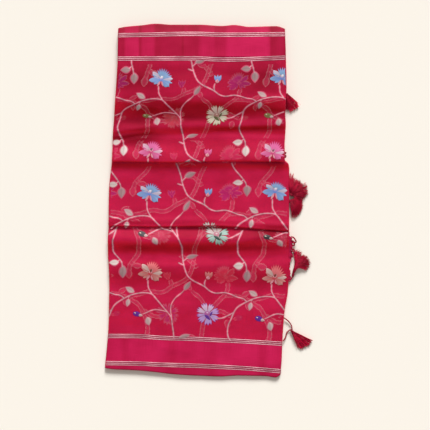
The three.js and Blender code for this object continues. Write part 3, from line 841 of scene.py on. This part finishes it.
def fan(centre, start, end, inner, outer, teeth, tones, depth=0.22, height=0.45):
    rows, cols = 7, teeth * 4 + 1
    t = np.linspace(0, 1, rows)[:, None]
    turn = np.radians(np.linspace(start, end, cols))[None, :]
    tooth = np.abs((np.linspace(0, teeth, cols) % 1) - 0.5)[None, :] * 2
    edge = outer * (1 - depth * tooth) * (1 - 0.1 * np.abs(np.linspace(-1, 1, cols))[None, :] ** 3)
    reach = inner + (edge - inner) * t
    place = np.stack([centre[0] + reach * np.cos(turn), centre[1] - reach * np.sin(turn)], -1)
    first, last, outline = tones
    tone = first + (last - first) * np.minimum(1, t * 1.6)[..., None]
    tone = tone * (1 - 0.12 * (tooth > 0.7))[..., None]
    tone = np.where((t > 0.97)[..., None], outline, tone)
    rise = height * np.sin(np.pi * np.minimum(1, t * 0.8 + 0.18)) + 0.02 + 0 * turn
    return {"place": place, "height": rise, "tone": np.broadcast_to(tone, (rows, cols, 3)), "kind": "both"}


def disc(centre, rx, ry, tone, height, turn=0):
    rows, cols = 4, 17
    t = np.linspace(0.02, 1, rows)[:, None]
    a = np.linspace(0, 2 * np.pi, cols)[None, :]
    c, s = math.cos(math.radians(turn)), math.sin(math.radians(turn))
    px, py = rx * t * np.cos(a), ry * t * np.sin(a)
    place = np.stack([centre[0] + px * c - py * s, centre[1] - px * s - py * c], -1)
    rise = height * (1 - t**3) + 0.02 + 0 * a
    return {"place": place, "height": rise, "tone": np.broadcast_to(tone, (rows, cols, 3)), "kind": "both"}


def leafTones(light):
    return light, light * 0.88, 0.84, light * 0.72


flowerColours = {
    "blue": {"fan": colour(132, 166, 206), "edge": colour(104, 116, 190), "pale": colour(206, 194, 214),
             "deep": colour(108, 132, 202), "petal": colour(144, 174, 214), "heart": colour(222, 222, 228),
             "behind": colour(150, 70, 200)},
    "pink": {"fan": colour(222, 100, 158), "edge": colour(186, 40, 106), "pale": colour(226, 176, 196),
             "deep": colour(190, 40, 104), "petal": colour(224, 112, 166), "heart": colour(120, 60, 80),
             "behind": colour(255, 96, 160)},
    "coral": {"fan": colour(222, 112, 116), "edge": colour(184, 46, 60), "pale": colour(222, 184, 176),
              "deep": colour(194, 60, 70), "petal": colour(210, 150, 142), "heart": colour(120, 60, 50),
              "behind": colour(255, 110, 130)},
}
roundColours = {
    "cream": {"petal": colour(206, 196, 172), "edge": colour(158, 144, 108), "top": colour(212, 184, 172),
              "heart": colour(170, 120, 112), "crescent": colour(90, 84, 50), "bud": colour(122, 112, 64),
              "behind": colour(236, 130, 130)},
    "teal": {"petal": colour(160, 190, 178), "edge": colour(108, 150, 140), "top": colour(204, 184, 182),
             "heart": colour(180, 110, 126), "crescent": colour(40, 62, 54), "bud": colour(56, 48, 52),
             "behind": colour(220, 120, 150)},
    "lilac": {"petal": colour(186, 150, 206), "edge": colour(134, 84, 180), "top": colour(208, 178, 206),
              "heart": colour(170, 90, 150), "crescent": colour(92, 40, 140), "bud": colour(96, 34, 140),
              "behind": colour(190, 80, 190)},
}


def fromBehind(patches, shade):
    for patch in patches:
        light = patch["tone"].mean(axis=-1, keepdims=True)
        back = shade * (0.45 + 0.75 * light / light.max())
        rim = np.zeros(back.shape[:2], bool)
        rim[-2:] = rim[:, :2] = rim[:, -2:] = True
        patch["back"] = np.where(rim[..., None], shade * 0.35 + ghost * 0.65, back)
    return patches


def flowerA(at, c):
    x, y = at
    pale = (c["pale"] * 0.7, c["pale"], 0.9, c["pale"] * 0.8)
    strong = (c["deep"], c["petal"], 0.92, c["petal"] * 0.7)
    sepal = (blush, silverPink, 0.9, vineEdge)
    return fromBehind([
        blade((x - 0.6, y + 2), 238, 6.4, 2.2, sepal),
        blade((x + 0.6, y + 2.2), 285, 5.4, 1.9, sepal),
        blade((x - 1.4, y), 136, 10, 5.2, pale, tip=0.7),
        blade((x - 0.8, y - 0.4), 156, 9, 2.6, strong, tip=0.8),
        blade((x + 1.2, y + 0.4), 18, 10.4, 2.8, strong, tip=0.8),
        blade((x - 0.4, y + 1.4), 210, 8, 3, strong, tip=0.7),
        blade((x + 1, y + 1.2), 342, 11, 3, strong, tip=0.7),
        blade((x - 1.4, y + 0.8), 184, 11, 5.4, strong, tip=0.7, veins=1),
        blade((x + 2, y + 0.8), 4, 10, 4.8, pale, tip=0.7),
        blade((x + 0.6, y + 1), 318, 10.6, 6.6, strong, tip=0.45, fullest=0.6, veins=1),
        fan((x + 0.5, y + 0.2), 10, 122, 1.2, 10.8, 8, (c["fan"] * 0.8, c["fan"], c["edge"]), 0.34),
        disc((x - 0.4, y + 1), 2.6, 1.7, c["deep"], 0.5, 20),
        blade((x + 0.2, y + 1.4), 118, 5, 0.8, (silverPink,) * 2 + (1, silverPink), height=0.66),
        blade((x + 0.4, y + 1.4), 66, 5, 0.8, (silverPink,) * 2 + (1, silverPink), height=0.66),
        disc((x + 0.8, y - 1.8), 1.7, 1.5, c["heart"], 0.72),
    ], c["behind"])


def flowerB(at, c):
    x, y = at
    green = (c["petal"] * 0.72, c["petal"], c["edge"])
    grey = (c["top"] * 0.8, c["top"], c["edge"] * 0.9)
    fans = [(-152, -108, 11.6, green), (-100, -54, 12.4, green), (-46, -6, 12.2, green), (2, 40, 12.6, green),
            (48, 84, 11.6, grey), (91, 131, 12, grey), (139, 174, 11.8, grey), (182, 204, 11.4, green)]
    dark = (c["crescent"], c["crescent"], 1, c["crescent"])
    petals = [fan((x, y), start, end, 1.5, reach, 3, tones, 0.2) for start, end, reach, tones in fans]
    return fromBehind(petals + [
        disc((x - 0.4, y - 0.2), 4, 3.2, c["heart"], 0.7, 15),
        blade((x - 3.4, y + 1.6), -14, 8.2, 4, dark, bend=0.32, height=0.8),
        blade((x + 2.2, y + 2.4), 62, 6, 2.4, dark, height=0.82),
        disc((x - 0.2, y - 1), 1.5, 1.1, c["top"], 0.9),
    ], c["behind"])


def budA(at, c):
    x, y = at
    bluish = (c["deep"], c["petal"], 0.9, c["deep"])
    return fromBehind([
        blade((x - 1.6, y + 3), 112, 7, 3.2, bluish, veins=1),
        blade((x - 0.8, y + 3.2), 64, 7.6, 3.4, bluish, veins=1),
        blade((x - 1.2, y + 3.4), 88, 7.4, 2.6, bluish, height=0.55),
        blade((x - 2, y + 4.6), 78, 4.4, 4, (blush, silverPink, 0.9, vineEdge), height=0.62),
    ], c["behind"])


def budB(at, dark):
    x, y = at
    return [
        disc((x, y), 4, 2.6, dark, 0.55, -14),
        blade((x + 1.4, y + 0.9), -12, 4.6, 3, leafTones(silverLeaf), height=0.6),
        # a painted glint: a small pale spot on the dark bud
        disc((x - 1.6, y - 1), 1.3, 0.6, colour(226, 214, 190), 0.74, -25),
    ]


def leaf(centre, angle, length, width, light=silverLeaf, bend=0.06):
    turn = math.radians(angle)
    patches = []
    for more, height, tones in ((1.7, 0.1, (halo, halo, 1, halo)), (0, 0.4, leafTones(light))):
        reach = (length + more) / 2
        base = (centre[0] - reach * math.cos(turn), centre[1] + reach * math.sin(turn))
        patches.append(blade(base, angle, 2 * reach, width + more, tones, bend=bend, height=height))
    patches[0]["kind"] = "front"
    return patches


rowColours = {-1: ("coral", "lilac"), 0: ("blue", "cream"), 1: ("pink", "cream"), 2: ("blue", "teal"),
              3: ("coral", "lilac"), 4: ("blue", "lilac")}


# One repeat of the pattern, around its large flower at 0, 0
def tile(row):
    bulge = {-1: 8, 0: 3.6}.get(row, 0)
    patches = [
        *vine([(-2.5, 7), (-2, 15), (1.5, 21.5)], 1.25, 0.1),
        *vine([(-27.6, 82), (-28.6, 77), (-33 + bulge / 3, 71), (-39 + bulge, 64), (-42 + bulge, 57),
               (-42.8 + bulge, 50), (-41.2 + bulge / 2, 44), (-38.5, 37), (-34.5, 31.4), (-26.6, 26.3),
               (-19, 22.5), (-10, 20.5), (-3.6, 20.5), (1.5, 21.8), (6.6, 27.6), (14.3, 37), (19.5, 43.5),
               (22, 48)], 1.35, 0.1),
        *vine([(22, -38), (24, -32), (27.5, -24), (30.5, -16), (32, -9), (34, -3), (37, 3.3), (42.3, 7.8),
               (48.7, 11), (54, 14), (59, 18), (65, 19.7), (73, 18.4), (79, 19.3), (86, 21.8), (92, 23),
               (96, 26)], 1.35, 0.1),
        *vine([(31.5, -11), (33.6, -13), (36, -15)], 1.2),
        *vine([(32, -7), (29.5, -8), (27, -9)], 1.3),
        *vine([(-30, -12), (-32, -10.4), (-34, -9)], 1.0),
        *vine([(33, 18), (30.8, 20.5), (24.5, 26), (20.6, 33), (20.2, 40), (21.6, 47)], 1.25),
        *vine([(54.6, 6), (53.4, 9.6), (54, 14)], 1.25),
        *vine([(83.4, 37), (81, 39), (77, 41.5), (72, 44.5), (67, 45.5), (63, 45)], 1.25),
        *vine([(-8, 42.2), (-6, 41.5), (0, 38.7), (5, 37.5), (12, 38.5), (16.4, 40)], 1.25),
        *leaf((-20.5, 17.4), 152, 10, 5.6),
        *leaf((-22.3, 30.4), -98, 8, 4.6),
        *vine([(-20, 22.8), (-21.4, 24.6), (-22, 25.4)], 1.1),
        *leaf((39.4, -17 if row < 4 else -20.4), 22, 11.4, 5.4, deepLeaf),
        *leaf((-26.8, -0.4), -88, 10.6, 7.4, paleLeaf if row == 1 else deepLeaf),
        *leaf((-36, -8.4), 188, 9.6, 6, deepLeaf if row == 0 else paleLeaf),
        *leaf((36.2, 13), 60, 11, 5, deepLeaf),
        *leaf((-1, 49.4), -62, 9.4, 6),
    ]
    patches += flowerA((0, 0), flowerColours[rowColours[row][0]])
    patches += flowerB((59 if row == 2 else 57, 42), roundColours[rowColours[row][1]])
    patches += budA((58.3, 1.4), flowerColours[rowColours[row][0]])
    patches += budB((-13.7, 42), roundColours[rowColours[row][1]]["bud"])
    return patches


def layMotifs(name, placer, underneath=False):
    points, faces, uv, tones = [], [], [], []
    total = 0
    for row in rowColours:
        for patch in tile(row):
            if patch["kind"] == ("front" if underneath else "back"):
                continue
            rows, cols = patch["place"].shape[:2]
            for column in (-1, 0, 1):
                x = patch["place"][..., 0]
                v = patch["place"][..., 1] + row * tileHeight
                place, inside = placer(x, v, column, patch["height"])
                if not inside.any():
                    continue
                quads = gridFaces(rows, cols)
                quads = quads[inside.ravel()[quads].all(axis=1)]
                if not len(quads):
                    continue
                used, renumbered = np.unique(quads, return_inverse=True)
                faces.append(renumbered.reshape(-1, 4) + total)
                points.append(place.reshape(-1, 3)[used])
                flat = np.stack([x, v], -1).reshape(-1, 2)[used] * square
                uv.append(flat)
                tone = patch["tone"]
                if underneath and patch["kind"] == "both":
                    tone = patch.get("back", net * 0.5 + tone * 0.5)
                tones.append(tone.reshape(-1, 3)[used])
                total += len(used)
    return joinMesh(name, points, faces, silks["motifSilk"], uv, tones)


def chartPlace(stretch, x, v, column):
    y = curve(stretch["chartRows"], v)
    wide = curve(stretch["tileWidths"], y)
    return y, curve(stretch["chartColumn"], y) + wide * column + x * wide / tileWidth


def placeOn(stretch):
    low, high = stretch["chartRows"][0][0], stretch["chartRows"][-1][0]

    def placer(x, v, column, height):
        y, photoX = chartPlace(stretch, x, v, column)
        y = y + curve(stretch["leftShift"], y) * ease(*leftFade, photoX)
        y = y + curve(stretch["rightShift"], y) * ease(*rightFade, photoX)
        px, py = (photoX - origin) * square, (origin - y) * square
        place = onCloth(stretch, px, py, height)
        limit = stretch["limits"](place[..., 1] + slant(place[..., 0], place[..., 1]))
        inside = (v > low) & (v < high) & (place[..., 0] > limit[0] + 0.5) & (place[..., 0] < limit[1] - 0.5)
        return place, inside

    return placer


def placeUnder(x, v, column, height):
    places = np.zeros((*x.shape, 3))
    inside = np.zeros(x.shape, bool)
    for stretch in (upper, middle, lower):
        low, high = stretch["chartRows"][0][0], stretch["chartRows"][-1][0]
        y, front = chartPlace(stretch, x, v, column)
        mirrored = curve(mirrorLine, y) - front
        y = y + curve(underShift, y) + curve(stretch["rightShift"], y) * ease(*rightFade, mirrored)
        px, py = (mirrored - origin) * square, (origin - y) * square
        here = (v > low) & (v < high)
        limit = lowerLimits(py)
        pz = bedHeight(px, py) + underDrop + height * 0.6 - lipDrop(px, limit)
        places[here] = np.stack([px, py, pz], -1)[here]
        onLeg = (py > upperTuck["y"] + 6) & (py < upperTuck["y"] + upperTuck["back"] - 4) & here
        places[..., 2][onLeg] += layerPitch + tuckSeam + silkThickness - underDrop
        between = (abs(py - upperTuck["y"] - upperTuck["back"] + 1.5) < 2.5) & here
        inside |= here & (px > limit[0] + 5) & (px < limit[1] - 5) & ~between
    return places, inside


upperFlowers = layMotifs("upperFlowers", placeOn(upper))
middleFlowers = layMotifs("middleFlowers", placeOn(middle))
lowerFlowers = layMotifs("lowerFlowers", placeOn(lower))
underFlowers = layMotifs("underFlowers", placeUnder, underneath=True)

print("end of the saree")
palluRows = np.arange(-74, -217.5, -1.1)
palluGrid = []
for row in palluRows:
    limit = lowerLimits(row)
    out = float(curve(ruffledEnd, row)[()])
    past = np.array([-3, -1.5, 0, out * 0.25, out * 0.5, out * 0.75, out])
    x = float(limit[1]) + past
    y = rowAt(x, row)
    share = np.clip(past / out, 0, 1)
    ruffle = 2.0 * share * math.sin(row / 5.5) + 0.8 * share**2 * math.sin(row / 1.7)
    x = x + share * (0.9 * math.sin(row / 2.6) + 0.6 * math.sin(row / 1.3 + 2))
    z = bedHeight(x, y) - lipDrop(x, limit) + ruffle
    palluGrid.append(np.stack([x, y, z], -1))
palluEnd = shell("palluEnd", np.array(palluGrid), silkThickness, silks["satinSilk"],
                 np.full((len(palluRows), 7, 3), 0.8))

# Warp threads that hang loose from the raw end, in loops
looseLoops = [
    [(246.5, -99, 15), (252, -101, 14), (257, -107, 12), (259.5, -113, 10), (256, -115, 9), (252, -110, 12)],
    [(249, -113, 14), (255, -118, 11), (254, -123, 9), (248, -121, 12)],
    [(247.5, -132, 12), (254, -134, 9), (254.5, -138, 8), (248.5, -138, 11)],
    [(243.5, -149, 12), (249.5, -150, 9), (248, -155, 8), (242.5, -153, 11)],
    [(228, 121, 20), (231.5, 119, 18), (229.5, 114, 17), (227, 117, 19)],
    [(228.5, 128, 21), (231, 127, 20), (230, 124, 19)],
]


def sideAndTop(line):
    heading = np.gradient(line, axis=0)
    heading /= np.maximum(np.linalg.norm(heading, axis=1, keepdims=True), 1e-9)
    guide = np.where(np.abs(heading[:, 2:3]) > 0.9, [[1.0, 0, 0]], [[0, 0, 1.0]])
    side = np.cross(heading, guide)
    side /= np.linalg.norm(side, axis=1, keepdims=True)
    return side, np.cross(side, heading)


def tube(line, radius, sides, start):
    line = np.array(line, float)
    side, top = sideAndTop(line)
    a = 2 * np.pi * np.arange(sides) / sides
    radius = np.broadcast_to(radius, len(line))[:, None, None]
    ring = line[:, None] + radius * (side[:, None] * np.cos(a)[:, None] + top[:, None] * np.sin(a)[:, None])
    at = start + np.arange(len(line) * sides).reshape(len(line), sides)
    beside = np.roll(at, -1, axis=1)
    quads = np.stack([at[:-1], beside[:-1], beside[1:], at[1:]], -1).reshape(-1, 4)
    uv = np.stack(np.meshgrid(np.arange(sides) * 0.5, np.arange(len(line)) * 1.5), -1).reshape(-1, 2)
    return ring.reshape(-1, 3), quads, uv


def tubesObject(name, tubes, material):
    points, faces, uv, tones = [], [], [], []
    total = 0
    for line, radius, sides, tone in tubes:
        ring, quads, flat = tube(line, radius, sides, total)
        points.append(ring)
        faces.append(quads)
        uv.append(flat)
        tones.append(np.repeat(np.broadcast_to(tone, len(line)), sides)[:, None] * np.ones(3))
        total += len(ring)
    return joinMesh(name, points, faces, material, uv, tones)


print("tassels")
# Each tassel's head, the heading of its strands in degrees and how much that turns on the way, how widely
# they fan, how long they are and how much longer on the left, the head's size, the threads and the locks they
# lie in, how frizzy, ragged and bushy they are, where the bundle opens, and how bright it is: on tassel_1 this
# is raised as painted light, to lift it out of the shade that falls on it
tassels = [
    # tassel_1's brightness holds painted light against the shade on it
    {"name": "tassel_1", "head": (233.4, 283, 20.4), "points": -66, "turn": 4, "fan": 56, "length": 49,
     "slant": -0.02, "along": 3.2, "wide": 4.6, "threads": 190, "locks": 7, "loose": 0.25,
     "ragged": 0.2, "bush": 1.4, "neck": 0, "bright": 1.3},
    {"name": "tassel_2", "head": (247, 14.5, 7.4), "points": 34, "turn": 8, "fan": 140, "length": 50,
     "slant": 0.2, "along": 3.4, "wide": 5.8, "threads": 620, "locks": 9, "loose": 1.3, "ragged": 0.24,
     "bush": 5, "neck": 0.02, "bright": 0.86},
    {"name": "tassel_3", "head": (244.6, -3, 7.2), "points": -34, "turn": 8, "fan": 92, "length": 45,
     "slant": -0.16, "along": 3.4, "wide": 5.6, "threads": 520, "locks": 7, "loose": 1.3,
     "ragged": 0.26, "bush": 5, "neck": 0.04, "bright": 0.86},
    {"name": "tassel_4", "head": (251.5, -202, 6.8), "points": 26, "turn": 56, "fan": 116, "length": 68,
     "slant": 0.05, "along": 6, "wide": 3.8, "threads": 460, "locks": 10, "loose": 1.0, "ragged": 0.16,
     "bush": 4.4, "neck": 0.5, "bright": 0.86},
    {"name": "tassel_5", "head": (250.4, -357, 6.8), "points": -47, "turn": 0, "fan": 42, "length": 59,
     "slant": 0.1, "along": 7.5, "wide": 4.4, "threads": 240, "locks": 8, "loose": 0.1, "ragged": 0.06,
     "bush": 1.8, "neck": 0, "bright": 1.0},
]
cords = {
    "tassel_4": [[(241.0, -221, 7), (246, -214, 6.4), (250, -206, 6.4)]],
    "tassel_5": [
        [(227.7, -318.5, 8), (238.5, -327, 6), (247, -339, 5), (249.2, -351, 6)],
        [(224.2, -381, 7.5), (231.5, -371, 5), (234.6, -359, 4), (243.2, -351.5, 5), (248, -354, 6.4)],
    ],
}


def twisted(points, radius, tone):
    line = smoothLine(points, 0.8)
    length = np.concatenate([[0], np.cumsum(np.linalg.norm(np.diff(line, axis=0), axis=1))])
    side, top = sideAndTop(line)
    tubes = []
    for k in range(2):
        a = length * 1.1 + math.pi * k
        offset = radius * 0.5 * (side * np.cos(a)[:, None] + top * np.sin(a)[:, None])
        tubes.append((line + offset, radius * 0.62, 5, tone))
    return tubes


endLoops = tubesObject("endLoops", [t for line in looseLoops for t in twisted(line, 1.9, 0.66)],
                       silks["tasselSilk"])
tasselPieces = []
for tassel in tassels:
    rng = random.Random(tassel["name"])
    hx, hy, hz = tassel["head"]
    tubes = []
    locks = []
    for k in range(tassel["locks"]):
        middleShare = -1 + (2 * k + 1) / tassel["locks"] + rng.uniform(-0.3, 0.3) / tassel["locks"]
        locks.append((middleShare, rng.uniform(-1, 0.4) * tassel["ragged"],
                      rng.uniform(-6, 6) * tassel["loose"], rng.uniform(0.82, 1.2) * tassel["bright"]))
    sideways = math.radians(tassel["points"] + tassel["turn"] + 90)
    steps = np.linspace(0, 1, 11)
    opened = ease(tassel["neck"] - 0.25, tassel["neck"] + 0.25, steps)
    for _ in range(tassel["threads"]):
        middleShare, longer, lockCurl, lockTone = rng.choice(locks)
        apart = rng.uniform(-1, 1) * (1.4 + 1.6 * tassel["loose"]) / tassel["locks"]
        level = rng.uniform(-1, 1)
        frizz = rng.random() < 0.3 * tassel["loose"]
        share = min(1, max(-1, middleShare + apart))
        reach = tassel["length"] * (0.92 + longer + rng.uniform(-0.05, 0.05) - 0.06 * share**2
                                    + tassel["slant"] * share + 0.05 * frizz)
        curl = lockCurl + rng.uniform(-1.4, 1.4) * (1 + 3 * tassel["loose"]) + frizz * rng.uniform(-22, 22)
        waviness = 1.5 + 7 * frizz + 5 * tassel["loose"]
        heading = np.radians(tassel["points"] + tassel["turn"] * (1 - steps)
                             + tassel["fan"] / 2 * opened * (middleShare + apart * (1 - 0.55 * steps))
                             + curl * steps**2 + waviness * np.sin(rng.uniform(0, 6) + 9 * steps))
        root = 0.8 * tassel["wide"] * share * (1 - 0.5 * min(1, tassel["neck"] * 2))
        x = hx + root * math.cos(sideways) + np.concatenate([[0], np.cumsum(np.cos(heading[1:]))]) * reach / 10
        y = hy + root * math.sin(sideways) + np.concatenate([[0], np.cumsum(np.sin(heading[1:]))]) * reach / 10
        rootZ = hz + 2.2 * level * math.sqrt(max(0, 1 - share * share * 0.8))
        bush = tassel["bush"] * np.sin(np.pi * np.minimum(1, steps * 1.1)) * (level + 0.4)
        z = np.maximum(0.5, rootZ + (0.9 + (level + 1) * 2.6 - rootZ) * ease(0, 1, steps) + bush)
        # painted shade: each thread is darker towards the head, where the threads bunch; each lock and thread
        # differs at random
        tone = lockTone * rng.uniform(0.8, 1.25) * (0.55 + 0.5 * ease(0, 0.5, steps))
        tubes.append((np.stack([x, y, z], -1), np.linspace(0.5, 0.36, 11) * (0.5 if frizz else 1), 3, tone))
    # The head, wound round with thread
    skirt = math.radians(tassel["points"] + tassel["turn"])
    for k in range(9):
        share = k / 8 * 2 - 1
        along = share * tassel["along"]
        narrow = math.sqrt(max(0.05, 1 - share**2 * 0.8))
        ring = []
        for a in np.linspace(0, 2 * math.pi, 15):
            out = tassel["wide"] * narrow * 0.92 * math.cos(a)
            ring.append((hx + along * math.cos(skirt) - out * math.sin(skirt),
                         hy + along * math.sin(skirt) + out * math.cos(skirt),
                         hz + 3.4 * narrow * math.sin(a)))
        tubes.append((ring, 0.62, 4, 0.5))
    tubes += [t for line in cords.get(tassel["name"], []) for t in twisted(line, 1.7, 0.56)]
    piece = tubesObject(tassel["name"].replace("tassel_", "tasselThreads"), tubes, silks["tasselSilk"])
    tasselPieces.append((piece, tassel["name"]))

floorSize = 3000
floorCorners = [(x * floorSize, y * floorSize, 0) for x, y in ((-1, -1), (1, -1), (1, 1), (-1, 1))]
floor = makeMesh("paper", floorCorners, [(0, 1, 2, 3)], floorMaterial)

print("frame")
replaced = [
    (upperBorderSheet, "upper_border", "satin_silk"),
    (upperSheet, "upper_stretch", "sheer_silk"),
    (middleSheet, "middle_stretch", "sheer_silk"),
    (lowerSheet, "lower_stretch", "sheer_silk"),
    (lowerBorderSheet, "lower_border", "satin_silk"),
    (foldedStack, "hidden_layers", "sheer_silk"),
    (palluEnd, "pallu_end", "sheer_silk"),
]
for piece, node, slot in replaced:
    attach(piece, "root")
    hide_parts(node)
for piece, node in tasselPieces:
    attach(piece, "root")
    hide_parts(node)
for piece in bandPieces:
    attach(piece, "root")
for piece in (upperFlowers, middleFlowers, lowerFlowers, underFlowers):
    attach(piece, "root")
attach(underSheet, "root")
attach(endLoops, "root")

meshes = [thing for thing in scene.objects if thing.type == "MESH"]
triangles = {thing.name: sum(len(p.vertices) - 2 for p in thing.data.polygons) for thing in meshes}
print("triangles", sum(triangles.values()), sorted(triangles.items(), key=lambda item: -item[1])[:6])
